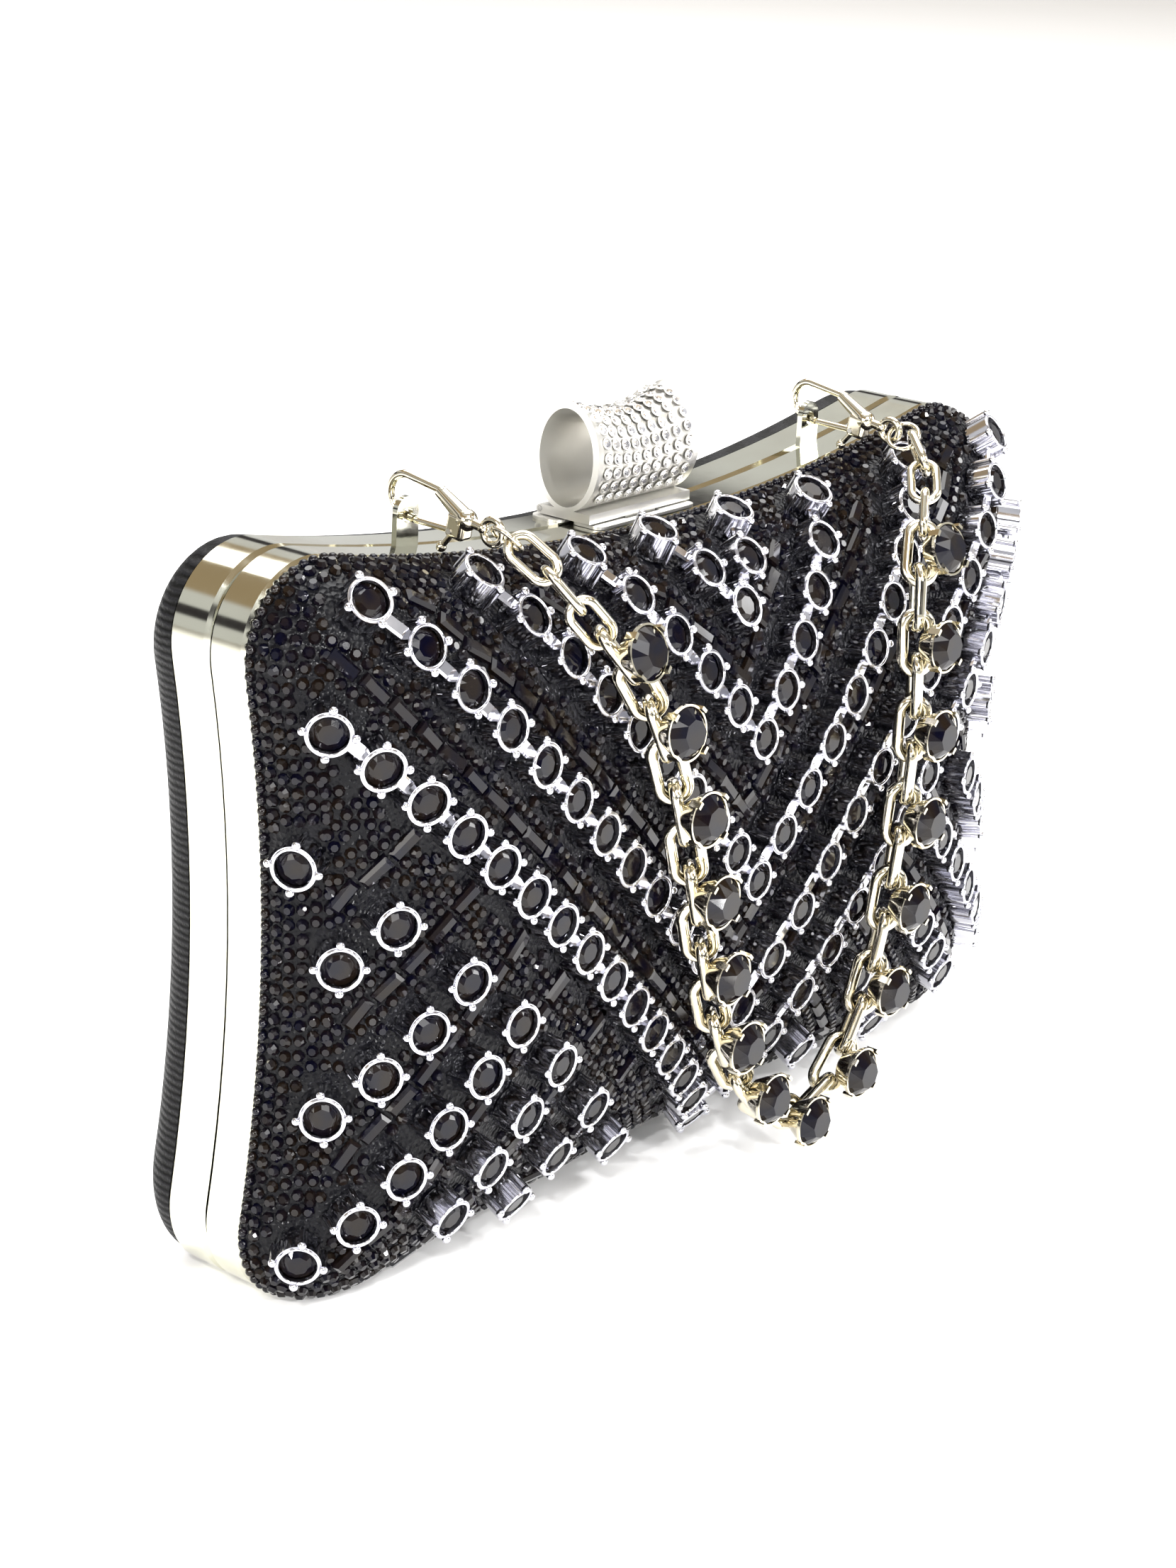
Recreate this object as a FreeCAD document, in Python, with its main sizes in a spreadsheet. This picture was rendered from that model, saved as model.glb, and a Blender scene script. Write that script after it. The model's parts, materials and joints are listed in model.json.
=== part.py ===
"""Hard-shell evening bag: two framed half shells on a bottom hinge, a ring-shaped clasp and a chain handle.

Millimetres. X runs along the bag, -Y is the decorated front, +Z is up and Z = 0 is the standing plane.
Every sub-part is drawn with the seam between the halves at Y = 0 and is then moved by seam_shift in Y,
so that the row origin is under the middle of the whole object.
"""
import FreeCAD, Part
import math
import os

Vec = FreeCAD.Vector
X_AXIS = Vec(1, 0, 0)
Y_AXIS = Vec(0, 1, 0)
Z_AXIS = Vec(0, 0, 1)

doc = FreeCAD.newDocument("evening_bag")
sheet = doc.addObject("Spreadsheet::Sheet", "dims")

DIMENSIONS = [
    # the frame outline, seen from the front
    ("frame_width", 190.0, "overall width"),
    ("frame_height", 120.0, "overall height"),
    ("corner_radius", 13.7, "radius of the four corners"),
    ("side_waist", 4.1, "how far each side curves in at mid-height"),
    ("top_waist", 8.5, "how far the top edge dips at the middle"),
    ("bottom_waist", 3.5, "how far the bottom edge rises at the middle"),
    ("rest_trim", 0.3, "depth of the flats that the bag stands on"),
    ("seam_shift", 11.43, "Y of the seam in the row frame"),
    # frames
    ("front_band", 7.5, "width of the front frame band"),
    ("rear_band", 8.1, "width of the rear frame band"),
    ("seam_gap", 0.15, "each half's clearance to the seam plane"),
    ("band_wall", 1.6, "wall of the frame bands"),
    ("band_round", 0.7, "rounding of the bands' outer edges"),
    ("flange_reach", 4.5, "how far the shell flange reaches in"),
    ("flange_wall", 0.8, "thickness of the shell flange"),
    # domed shells
    ("front_dome", 22.5, "height of the front dome over its frame"),
    ("rear_dome", 16.0, "height of the rear dome over its frame"),
    ("dome_power", 2.4, "fullness of the domes"),
    ("dome_inset", 57.0, "inset of the dome's ridge"),
    ("shell_edge", 0.4, "step in from the frame edge to the shell"),
    ("shell_wall", 1.6, "wall of the shells"),
    ("lining_gap", 0.25, "gap between shell and lining"),
    ("lining_wall", 0.7, "lining thickness"),
    # bottom hinge
    ("hinge_height", 1.5, "height of the hinge axis"),
    ("hinge_length", 50.0, "length of the hinge"),
    ("knuckle_radius", 1.3, "outer radius of the knuckles"),
    ("pin_radius", 0.7, "radius of the hinge pin"),
    ("hinge_running", 0.05, "radial running clearance on the pins"),
    ("leaf_wall", 0.8, "hinge leaf thickness"),
    ("leaf_depth", 5.6, "how far a leaf reaches from the axis"),
    ("corner_relief", 2.4, "radius cleared about the hinge axis at the corners"),
    # ring clasp
    ("ring_length", 27.0, "length of the clasp ring"),
    ("ring_end_width", 14.0, "outer width of the flared ends"),
    ("ring_end_height", 18.6, "outer height of the flared ends"),
    ("ring_mid_width", 12.2, "outer width at the middle"),
    ("ring_mid_height", 15.4, "outer height at the middle"),
    ("ring_wall", 1.3, "wall of the ring"),
    ("ring_centre", 0.5, "Y of the ring's middle"),
    ("foot_bottom", 112.2, "height of the foot plate's underside"),
    ("foot_wall", 1.6, "thickness of the foot plate"),
    ("foot_front", 5.0, "how far the foot plate reaches forward of the seam"),
    ("base_bottom", 111.5, "height of the latch base's underside"),
    ("base_wall", 0.5, "thickness of the latch base and strike plate"),
    ("tilt_pin_y", 5.6, "Y of the pin that the ring tilts on"),
    ("tilt_pin_radius", 0.4, "radius of that pin"),
    # lugs and chain handle
    ("lug_offset", 53.5, "X of the lugs, each side of the middle"),
    ("lug_width", 5.0, "width of a lug"),
    ("lug_wall", 1.0, "thickness of a lug"),
    ("lug_hole_height", 119.9, "height of the hole centres"),
    ("lug_hole_radius", 1.2, "radius of the lug holes"),
    ("hook_radius", 3.2, "centre-line radius of a lobster hook"),
    ("hook_wire", 0.65, "radius of the hook wire"),
    ("link_wire", 1.0, "radius of the curb link wire"),
    ("link_pitch", 7.75, "pitch of the curb links"),
    ("link_half_width", 2.3, "half width of a curb link, centre line to centre line"),
    ("crystal_radius", 4.25, "radius of the chain crystals"),
    # crown settings on the front
    ("crown_radius", 3.6, "outer radius of a crown setting"),
    ("crown_height", 4.4, "height of a crown setting"),
    ("crown_stone_radius", 2.95, "radius of a crown stone"),
]
for row, (alias, number, meaning) in enumerate(DIMENSIONS, start=1):
    sheet.set("A%d" % row, str(number))
    sheet.setAlias("A%d" % row, alias)
    sheet.set("B%d" % row, meaning)
doc.recompute()


def dim(alias):
    """The value of one driving dimension."""
    return float(sheet.get(alias))


SUB_PARTS = []


def sub_part(obj, label):
    """Name a finished sub-part, shift it to the row frame and list it for export."""
    obj.Label = label
    obj.setExpression(".Placement.Base.y", "dims.seam_shift")
    SUB_PARTS.append(obj)
    return obj


def feature(label, shape):
    """A sub-part whose shape is worked out here from the driving dimensions."""
    obj = doc.addObject("Part::Feature", label)
    obj.Shape = shape
    obj.Placement = FreeCAD.Placement()
    return sub_part(obj, label)


def helper(kind, name, **bound):
    """A Part primitive that other features use, with its sizes bound to the sheet."""
    obj = doc.addObject(kind, name)
    for prop, expression in bound.items():
        obj.setExpression(prop.replace("__", "."), expression)
    return obj


def block(x0, x1, y0, y1, z0, z1):
    return Part.makeBox(x1 - x0, y1 - y0, z1 - z0, Vec(x0, y0, z0))


def rod(centre, radius, length, axis):
    """A cylinder centred on a point."""
    start = centre - axis * (length / 2)
    return Part.makeCylinder(radius, length, start, axis)


# ---------------------------------------------------------------- outline and domes

HALF_WIDTH = dim("frame_width") / 2
HALF_HEIGHT = dim("frame_height") / 2
MID_Z = HALF_HEIGHT - dim("rest_trim")


def outline(inset, y):
    """The frame outline stepped in by an inset: four round corners joined by four hollow sides."""
    half_w = HALF_WIDTH - inset
    half_h = HALF_HEIGHT - inset
    radius = dim("corner_radius") * (1 - inset / (1.15 * HALF_HEIGHT))
    cx = half_w - radius
    cz = half_h - radius
    side_reach = half_w - dim("side_waist") * half_w / HALF_WIDTH
    side_x = hollow_centre(cx, cz, side_reach - radius)
    centres = {}
    for sign, waist in ((1, dim("top_waist")), (-1, dim("bottom_waist"))):
        reach = half_h - waist * half_h / HALF_HEIGHT
        centres[sign] = (hollow_centre(cz, cx, reach - radius), reach)
    edges = []
    corners = [(1, 1), (-1, 1), (-1, -1), (1, -1)]
    ends = []
    for sx, sz in corners:
        far_z = centres[sz][0]
        to_side = math.atan2(-cz, side_x - cx)
        to_top = math.atan2(far_z - cz, -cx)
        stops = [to_side, (to_side + to_top) / 2, to_top]
        points = []
        for angle in stops:
            px = sx * (cx + radius * math.cos(angle))
            pz = sz * (cz + radius * math.sin(angle))
            points.append(Vec(px, y, MID_Z + pz))
        if sx * sz < 0:
            points.reverse()
        ends.append(points)
    middles = [
        Vec(0, y, MID_Z + centres[1][1]),
        Vec(-side_reach, y, MID_Z),
        Vec(0, y, MID_Z - centres[-1][1]),
        Vec(side_reach, y, MID_Z),
    ]
    for index in range(4):
        here = ends[index]
        following = ends[(index + 1) % 4]
        edges.append(Part.Arc(here[0], here[1], here[2]).toShape())
        edges.append(Part.Arc(here[2], middles[index], following[0]).toShape())
    return Part.Wire(edges)


def hollow_centre(along, across, reach):
    """Distance to the centre of the arc that touches both corner circles and dips to reach."""
    return (along * along + across * across - reach * reach) / (2 * (along - reach))


def dome_height(inset, height, start, span):
    """Height of a dome at an inset: steep at the rim and level at the ridge."""
    part = min(max((inset - start) / (span - start), 0.0), 1.0)
    power = dim("dome_power")
    return height * (1 - (1 - part) ** power) ** (1 / power)


# angles round the dome's section at which its outline is drawn, from the rim at 0 towards the ridge at 90
SECTION_ANGLES = (0, 5, 11, 18, 26, 35, 45, 55, 65, 74, 81)
LOFT_DEGREE = 3


def dome(side, base, height, start):
    """A closed dome over the outline on one side of the seam; side is -1 for the front."""
    span = dim("dome_inset") - dim("shell_wall")
    wires = []
    for angle in SECTION_ANGLES:
        part = 1 - math.cos(math.radians(angle)) ** (2 / dim("dome_power"))
        inset = start + (span - start) * part
        wires.append(outline(inset, side * (base + dome_height(inset, height, start, span))))
    return Part.makeLoft(wires, True, False, False, LOFT_DEGREE)


def dome_skin(side, base, height, start, wall):
    """An open dome of even wall."""
    outer = dome(side, base, height, start)
    inner = dome(side, base, height - wall, start + wall)
    return outer.cut(inner)


def surface_y(x, z):
    """Y of the front shell's outer face over a point, by bisection on the inset."""
    low = 0.0
    high = dim("dome_inset") - dim("shell_wall")
    for _ in range(40):
        middle = (low + high) / 2
        if inside_outline(abs(x), z - MID_Z, middle):
            low = middle
        else:
            high = middle
    span = dim("dome_inset") - dim("shell_wall")
    return -dim("front_band") - dome_height(low, dim("front_dome"), dim("shell_edge"), span)


def inside_outline(x, z, inset):
    """Whether a point lies inside the outline stepped in by an inset."""
    half_w = HALF_WIDTH - inset
    half_h = HALF_HEIGHT - inset
    radius = dim("corner_radius") * (1 - inset / (1.15 * HALF_HEIGHT))
    cx = half_w - radius
    cz = half_h - radius
    waist = dim("top_waist") if z > 0 else dim("bottom_waist")
    side_reach = half_w - dim("side_waist") * half_w / HALF_WIDTH
    reach = half_h - waist * half_h / HALF_HEIGHT
    side_x = hollow_centre(cx, cz, side_reach - radius)
    far_z = hollow_centre(cz, cx, reach - radius)
    z = abs(z)
    px = x - cx
    pz = z - cz
    past_side = (side_x - cx) * pz + cz * px > 0
    past_top = px * (far_z - cz) + pz * cx > 0
    if past_side and past_top:
        return math.hypot(px, pz) < radius
    clear_side = math.hypot(x - side_x, z) > side_x - side_reach
    clear_top = math.hypot(x, z - far_z) > far_z - reach
    return clear_side and clear_top


def surface_normal(x, z):
    """Outward normal of the front shell."""
    step = 0.4
    slope_x = (surface_y(x + step, z) - surface_y(x - step, z)) / (2 * step)
    slope_z = (surface_y(x, z + step) - surface_y(x, z - step)) / (2 * step)
    normal = Vec(slope_x, -1, slope_z)
    normal.normalize()
    return normal


# ---------------------------------------------------------------- frames, shells and linings

def plain_ring(outer_inset, inner_inset, y0, y1):
    """A band between two outlines, from y0 to y1."""
    push = Vec(0, y1 - y0, 0)
    outer = Part.Face(outline(outer_inset, y0)).extrude(push)
    inner = Part.Face(outline(inner_inset, y0)).extrude(push)
    return outer.cut(inner)


def frame_half(side, band):
    """One frame: a polished band with rounded edges, and a flange that carries the shell."""
    near = side * dim("seam_gap")
    far = side * band
    bevel = side * dim("band_round")
    wires = [outline(dim("band_round"), near), outline(0, near + bevel)]
    wires += [outline(0, far - bevel), outline(dim("band_round"), far)]
    body = Part.makeLoft(wires, True, True)
    bore = Part.Face(outline(dim("band_wall"), near)).extrude(Vec(0, far - near, 0))
    body = body.cut(bore)
    flange = plain_ring(dim("band_wall") - 0.1, dim("flange_reach"), far - side * dim("flange_wall"), far)
    body = body.fuse(flange)
    relief = rod(Vec(0, 0, dim("hinge_height")), dim("corner_relief"), 2 * HALF_WIDTH, X_AXIS)
    below = block(-HALF_WIDTH, HALF_WIDTH, -9, 9, -3, dim("hinge_height"))
    floor = block(-HALF_WIDTH, HALF_WIDTH, -9, 9, -3, 0)
    return body.cut(relief.common(below)).cut(floor).removeSplitter()


def build_shells():
    """The two frames, the two domed shells and their linings."""
    for name, side in (("front", -1), ("rear", 1)):
        band = dim(name + "_band")
        height = dim(name + "_dome")
        edge = dim("shell_edge")
        frame = frame_half(side, band)
        if name == "front":
            for sx in (-1, 1):
                frame = frame.cut(lug_blank(sx))
        feature(name + "_frame", frame)
        shell = dome_skin(side, band, height, edge, dim("shell_wall"))
        feature(name + "_shell", shell)
        clear = dim("shell_wall") + dim("lining_gap")
        lining = dome_skin(side, band, height - clear, edge + clear, dim("lining_wall"))
        feature(name + "_lining", lining)


# ---------------------------------------------------------------- lugs

def lug_blank(sx):
    """The outline of a lug: a strip with a round top, standing just in front of the seam."""
    half = dim("lug_width") / 2
    x = sx * dim("lug_offset")
    front = -dim("seam_gap") - dim("lug_wall")
    top = dim("lug_hole_height") + dim("lug_hole_radius") + 1.8 - half
    foot = top_edge(dim("lug_offset")) - dim("band_wall")
    strip = block(x - half, x + half, front, front + dim("lug_wall"), foot, top)
    crown = rod(Vec(x, front + dim("lug_wall") / 2, top), half, dim("lug_wall"), Y_AXIS)
    return strip.fuse(crown).removeSplitter()


def top_edge(x):
    """Height of the frame's top edge."""
    half_h = HALF_HEIGHT
    radius = dim("corner_radius")
    reach = half_h - dim("top_waist")
    far_z = hollow_centre(half_h - radius, HALF_WIDTH - radius, reach - radius)
    return MID_Z + far_z - math.sqrt((far_z - reach) ** 2 - x * x)


def build_lugs():
    for name, sx in (("left", -1), ("right", 1)):
        hole = rod(Vec(sx * dim("lug_offset"), 0, dim("lug_hole_height")), dim("lug_hole_radius"), 6, Y_AXIS)
        feature("chain_lug_" + name, lug_blank(sx).cut(hole))


# ---------------------------------------------------------------- bottom hinge

KNUCKLES = 5
KNUCKLE_GAP = 0.3
RIVET_PLACES = (-0.4, -0.2, 0.2, 0.4)
RIVET_RADIUS = 0.7
RIVET_HEAD = 1.1


def build_hinge():
    """A hinge under the bottom edge; the front knuckles hold the pin and the rear ones turn on it."""
    length = dim("hinge_length")
    axis_z = dim("hinge_height")
    pitch = length / KNUCKLES
    inner = dim("knuckle_radius") + 0.5
    top = axis_z + dim("knuckle_radius")
    for name, side, first, running in (("front", -1, 0, 0), ("rear", 1, 1, dim("hinge_running"))):
        bore = rod(Vec(0, 0, axis_z), dim("pin_radius") + running, length + 2, X_AXIS)
        ys = sorted((side * inner, side * dim("leaf_depth")))
        leaf = block(-length / 2, length / 2, ys[0], ys[1], top - dim("leaf_wall"), top)
        for index in range(first, KNUCKLES, 2):
            x = -length / 2 + pitch * (index + 0.5)
            wide = pitch - KNUCKLE_GAP
            barrel = rod(Vec(x, 0, axis_z), dim("knuckle_radius"), wide, X_AXIS)
            ys = sorted((side * 0.4, side * (inner + 0.2)))
            web = block(x - wide / 2, x + wide / 2, ys[0], ys[1], top - dim("leaf_wall"), top)
            slope = block(x - wide / 2, x + wide / 2, ys[0], ys[1], axis_z, top - 0.2)
            slope = slope.common(rod(Vec(x, 0, axis_z), inner - 0.2, wide, X_AXIS))
            leaf = leaf.fuse(barrel).fuse(web).fuse(slope)
        feature(name + "_hinge_leaf", leaf.cut(bore).removeSplitter())
        rivets = []
        for place in RIVET_PLACES:
            x = length * place
            centre = Vec(x, side * (inner + 2.0), top - dim("leaf_wall") / 2 + 0.9)
            shank = rod(centre, RIVET_RADIUS, 2.6, Z_AXIS)
            head = Part.makeSphere(RIVET_HEAD, Vec(x, centre.y, top - dim("leaf_wall") + 0.35))
            head = head.common(block(x - 2, x + 2, centre.y - 2, centre.y + 2, 0, top - dim("leaf_wall")))
            rivets.append(shank.common(block(x - 2, x + 2, -9, 9, top - dim("leaf_wall"), 9)).fuse(head))
        feature(name + "_hinge_rivets", Part.makeCompound(rivets))
    pin = helper("Part::Cylinder", "pin_body", Radius="dims.pin_radius", Height="dims.hinge_length + 0.6")
    pin.Placement = FreeCAD.Placement(Vec(0, 0, 0), FreeCAD.Rotation(Y_AXIS, 90))
    pin.setExpression(".Placement.Base.x", "-dims.hinge_length / 2 - 0.3")
    pin.setExpression(".Placement.Base.z", "dims.hinge_height")
    sub_part(pin, "hinge_pin")


# ---------------------------------------------------------------- ring clasp

EAR_X = 10.8
EAR_WALL = 1.6
EAR_RADIUS = 0.78
EAR_PLAY = 0.2
SPRING_NOTCH = 3.4
NOTCH_DEPTH = 2.2
# fraction of the ring's half length, and how far the ring has flared there
RING_STATIONS = ((0, 0.0), (0.3, 0.06), (0.55, 0.24), (0.78, 0.52), (0.92, 0.8), (1, 1))
RING_SINK = 0.4
RING_ROWS = 17
RING_COLUMNS = 9


def oval(x, width, height, centre_y, bottom_z):
    """An upright oval in the plane across the bag at x."""
    centre = Vec(x, centre_y, bottom_z + height / 2)
    tall = height >= width
    major = Vec(x, centre_y, bottom_z + height) if tall else Vec(x, centre_y + width / 2, centre.z)
    minor = Vec(x, centre_y + width / 2, centre.z)
    return Part.Wire([Part.Ellipse(major, minor, centre).toShape()])


def ring_body():
    """The saddle-shaped clasp ring: an oval tube with flared ends, flat rims and a foot plate."""
    half = dim("ring_length") / 2
    foot_top = dim("foot_bottom") + dim("foot_wall")
    wall = dim("ring_wall")
    signed = [(-part, flare) for part, flare in reversed(RING_STATIONS)] + list(RING_STATIONS[1:])
    tubes = []
    for inset in (0, wall):
        wires = []
        for part, flare in signed:
            wide = dim("ring_mid_width") + flare * (dim("ring_end_width") - dim("ring_mid_width"))
            tall = dim("ring_mid_height") + flare * (dim("ring_end_height") - dim("ring_mid_height"))
            bottom = foot_top - RING_SINK + inset * 0.6
            wires.append(oval(part * half, wide - 2 * inset, tall - 1.6 * inset, dim("ring_centre"), bottom))
        tubes.append(Part.makeLoft(wires, True, False))
    return tubes[0].cut(tubes[1])


def coil(centre, axis, radius, wire, pitch, turns):
    """A round-wire helical spring centred on a point, along an axis."""
    helix = Part.makeHelix(pitch, pitch * turns, radius)
    section = Part.Wire([Part.makeCircle(wire, Vec(radius, 0, 0), Y_AXIS)])
    spring = Part.Wire(helix.Edges).makePipeShell([section], True, True)
    spring.translate(Vec(0, 0, -pitch * turns / 2))
    spring.Placement = FreeCAD.Placement(centre, FreeCAD.Rotation(Z_AXIS, axis)).multiply(spring.Placement)
    return spring


def build_clasp():
    """Ring, foot, tilt pin, spring, hook, latch base and strike plate."""
    half = dim("ring_length") / 2
    foot_z = dim("foot_bottom")
    foot_top = foot_z + dim("foot_wall")
    pin_y = dim("tilt_pin_y")
    pin_z = foot_z + dim("foot_wall") / 2
    pin_r = dim("tilt_pin_radius")
    foot = block(-half, half, -dim("foot_front"), pin_y, foot_z, foot_top)
    foot = foot.fuse(rod(Vec(0, pin_y, pin_z), dim("foot_wall") / 2, 2 * half, X_AXIS))
    notch_front = pin_y - NOTCH_DEPTH
    foot = foot.fuse(ring_body())
    foot = foot.cut(block(-SPRING_NOTCH, SPRING_NOTCH, notch_front, 9, foot_z - 1, foot_top + 0.3))
    for sx in (-1, 1):
        wide = EAR_WALL / 2 + EAR_PLAY
        ear_x = sx * EAR_X
        foot = foot.cut(block(ear_x - wide, ear_x + wide, notch_front, 9, foot_z - 1, foot_top + 1))
    bore = rod(Vec(0, pin_y, pin_z), pin_r + dim("hinge_running"), 2 * half + 2, X_AXIS)
    feature("clasp_ring", foot.cut(bore).removeSplitter())

    base_z = dim("base_bottom")
    base_top = base_z + dim("base_wall")
    base = block(-15, 15, 0.5, 7.0, base_z, base_top)
    base = base.makeFillet(2.2, [edge for edge in base.Edges if upright(edge)])
    for sx in (-1, 1):
        x = sx * EAR_X
        half_ear = EAR_WALL / 2
        ear = block(x - half_ear, x + half_ear, pin_y - EAR_RADIUS, pin_y + EAR_RADIUS, base_top - 0.2, pin_z)
        base = base.fuse(ear).fuse(rod(Vec(x, pin_y, pin_z), EAR_RADIUS, EAR_WALL, X_AXIS))
    pin_hole = rod(Vec(0, pin_y, pin_z), pin_r, 60, X_AXIS)
    feature("latch_base", base.cut(pin_hole).removeSplitter())
    pin = helper("Part::Cylinder", "tilt_pin_body", Radius="dims.tilt_pin_radius", Height="dims.ring_length")
    pin.Placement = FreeCAD.Placement(Vec(0, 0, 0), FreeCAD.Rotation(Y_AXIS, 90))
    pin.setExpression(".Placement.Base.x", "-dims.ring_length / 2")
    pin.setExpression(".Placement.Base.z", "dims.foot_bottom + dims.foot_wall / 2")
    pin.Label = "latch_pin"
    pin.setExpression(".Placement.Base.y", "dims.seam_shift + dims.tilt_pin_y")
    SUB_PARTS.append(pin)

    spring = coil(Vec(0, pin_y, pin_z), X_AXIS, pin_r + 0.28, 0.16, 0.42, 9)
    feature("latch_spring", Part.makeCompound([spring]))

    strike = block(-13, 13, -7.0, -0.5, base_z, base_top)
    strike = strike.makeFillet(1.6, [edge for edge in strike.Edges if upright(edge)])
    slot = block(-4.6, 4.6, -5.7, 0, base_z - 1, base_top + 1)
    feature("strike_plate", strike.cut(slot))
    hook = block(-4, 4, -dim("foot_front"), -3.8, base_z + 0.2, foot_z)
    feature("latch_hook", hook)


def upright(edge):
    ends = [vertex.Point for vertex in edge.Vertexes]
    return abs(ends[0].x - ends[1].x) + abs(ends[0].y - ends[1].y) < 1e-6


def build_ring_stones():
    """The clear stones that cover the outside of the ring between its rims."""
    foot_top = dim("foot_bottom") + dim("foot_wall")
    stone = Part.makeCone(0.82, 0.5, 0.5)
    stones = []
    for column in range(RING_COLUMNS):
        part = -0.8 + 1.6 * column / (RING_COLUMNS - 1)
        flare = ring_flare(abs(part))
        wide = dim("ring_mid_width") + flare * (dim("ring_end_width") - dim("ring_mid_width"))
        tall = dim("ring_mid_height") + flare * (dim("ring_end_height") - dim("ring_mid_height"))
        middle = foot_top - RING_SINK + tall / 2
        for row in range(RING_ROWS):
            angle = math.radians(-42 + 264 * row / (RING_ROWS - 1))
            out = Vec(0, math.cos(angle) * tall, math.sin(angle) * wide)
            out.normalize()
            at = Vec(part * dim("ring_length") / 2, 0, 0)
            at.y = dim("ring_centre") + math.cos(angle) * wide / 2
            at.z = middle + math.sin(angle) * tall / 2
            stones.append(placed(stone, at + out * 0.12, out, X_AXIS))
    feature("ring_stones", Part.makeCompound(stones))


def ring_flare(part):
    """How far the ring has flared at a fraction of its half length."""
    for (p0, f0), (p1, f1) in zip(RING_STATIONS, RING_STATIONS[1:]):
        if part <= p1:
            return f0 + (f1 - f0) * (part - p0) / (p1 - p0)
    return 1.0


def placed(shape, at, up, aside):
    """A copy of a shape with its Z along up and its X near aside, moved to a point."""
    up = Vec(up)
    up.normalize()
    side = aside - up * aside.dot(up)
    side.normalize()
    across = up.cross(side)
    turn = FreeCAD.Matrix(side.x, across.x, up.x, at.x, side.y, across.y, up.y, at.y,
                          side.z, across.z, up.z, at.z, 0, 0, 0, 1)
    copy = shape.copy()
    copy.Placement = FreeCAD.Placement(turn)
    return copy


# ---------------------------------------------------------------- crown settings and their stones

# V rows: height of the point over mid-height, and pitch along the row
V_ROWS = ((39.5, 8.8), (19.3, 9.3), (-5.2, 9.3), (-28.3, 9.9), (-50.0, 9.2))
# rows of the herringbone at the lower corners: height where each line crosses the middle
CORNER_ROWS = (106.7, 87.0, 64.5, 45.2, 26.3, 3.5, -18.5)
CORNER_START = -72.5
CORNER_PITCH = 9.6
CORNER_LOWEST = 12.0
ROW_MARGIN = 1.4
PRONG_REACH = 3.9
PRONG_RADIUS = 0.55
PRONG_BALL = 0.7
SEAT_DEPTH = 1.7


def march(x, z, dx, dz, pitch):
    """The next point along a straight row, a pitch away over the dome."""
    step = pitch
    here = Vec(x, surface_y(x, z), z)
    for _ in range(8):
        there = Vec(x + dx * step, surface_y(x + dx * step, z + dz * step), z + dz * step)
        step *= pitch / max((there - here).Length, 0.1)
    return x + dx * step, z + dz * step


def row_points(x, z, dx, dz, pitch):
    """Every setting along one arm of a row, until it nears the frame."""
    points = []
    while inside_outline(abs(x), z - MID_Z, ROW_MARGIN) and len(points) < 16:
        points.append((x, z))
        x, z = march(x, z, dx, dz, pitch)
    return points


def crown_rows():
    """Centres of the crown settings, row by row."""
    slant = math.sqrt(0.5)
    rows = {}
    for index, (tip, pitch) in enumerate(V_ROWS, start=1):
        right = row_points(0.0, tip + MID_Z, slant, slant, pitch)
        left = [(-x, z) for x, z in right[1:]]
        rows["v%d" % index] = right + left
    for name, sign in (("left", -1), ("right", 1)):
        points = []
        for offset in CORNER_ROWS:
            x = (CORNER_START - offset) / 2
            z = (CORNER_START + offset) / 2 + MID_Z
            arm = row_points(x, z, -slant, -slant, CORNER_PITCH)
            points += [(-sign * px, pz) for px, pz in arm if pz > CORNER_LOWEST]
        rows["corner_" + name] = points
    return rows


def crown_template():
    """A round cup with four ball-ended prongs, standing on its base."""
    radius = dim("crown_radius")
    height = dim("crown_height")
    cup = Part.makeCylinder(radius, height)
    seat = Part.makeCylinder(dim("crown_stone_radius") + 0.05, 2, Vec(0, 0, height - SEAT_DEPTH))
    for quarter in range(4):
        angle = math.radians(90 * quarter)
        foot = Vec(PRONG_REACH * math.cos(angle), PRONG_REACH * math.sin(angle), 0)
        cup = cup.fuse(Part.makeCylinder(PRONG_RADIUS, height, foot))
        cup = cup.fuse(Part.makeSphere(PRONG_BALL, foot + Vec(0, 0, height)))
    return cup.cut(seat)


def build_crowns():
    """The crown settings and stones, one node for each V row and each corner."""
    cup = crown_template()
    radius = dim("crown_stone_radius")
    stone = Part.makeCylinder(radius, 0.9, Vec(0, 0, dim("crown_height") - SEAT_DEPTH))
    stone = stone.fuse(Part.makeCone(radius, radius * 0.55, 0.8, Vec(0, 0, dim("crown_height") - 0.8)))
    for name, points in crown_rows().items():
        cups = []
        stones = []
        for x, z in points:
            normal = surface_normal(x, z)
            at = Vec(x, surface_y(x, z), z) + normal * 0.05
            cups.append(placed(cup, at, normal, X_AXIS))
            stones.append(placed(stone, at, normal, X_AXIS))
        feature("crown_settings_" + name, Part.makeCompound(cups))
        feature("crown_stones_" + name, Part.makeCompound(stones))


# ---------------------------------------------------------------- chain handle

HOOK_SLOPE = 9.0
HOOK_TIP = 2.3
HOOK_BACK = 7.5
CHEEK_HALF = 1.5
CHEEK_REAR = -13.2
SLOT_HALF = 0.75
SLOT_END_WALL = 0.4
LEVER_PIN = 0.45
STEM_RADIUS = 0.8
EYE_REACH = 17.9
EYE_RISE = 0.4
# the spring sits in the slot, between the lever's boss and the slot's end wall
SPRING_SEAT = Vec(0, -12.25, -1.3)

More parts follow.
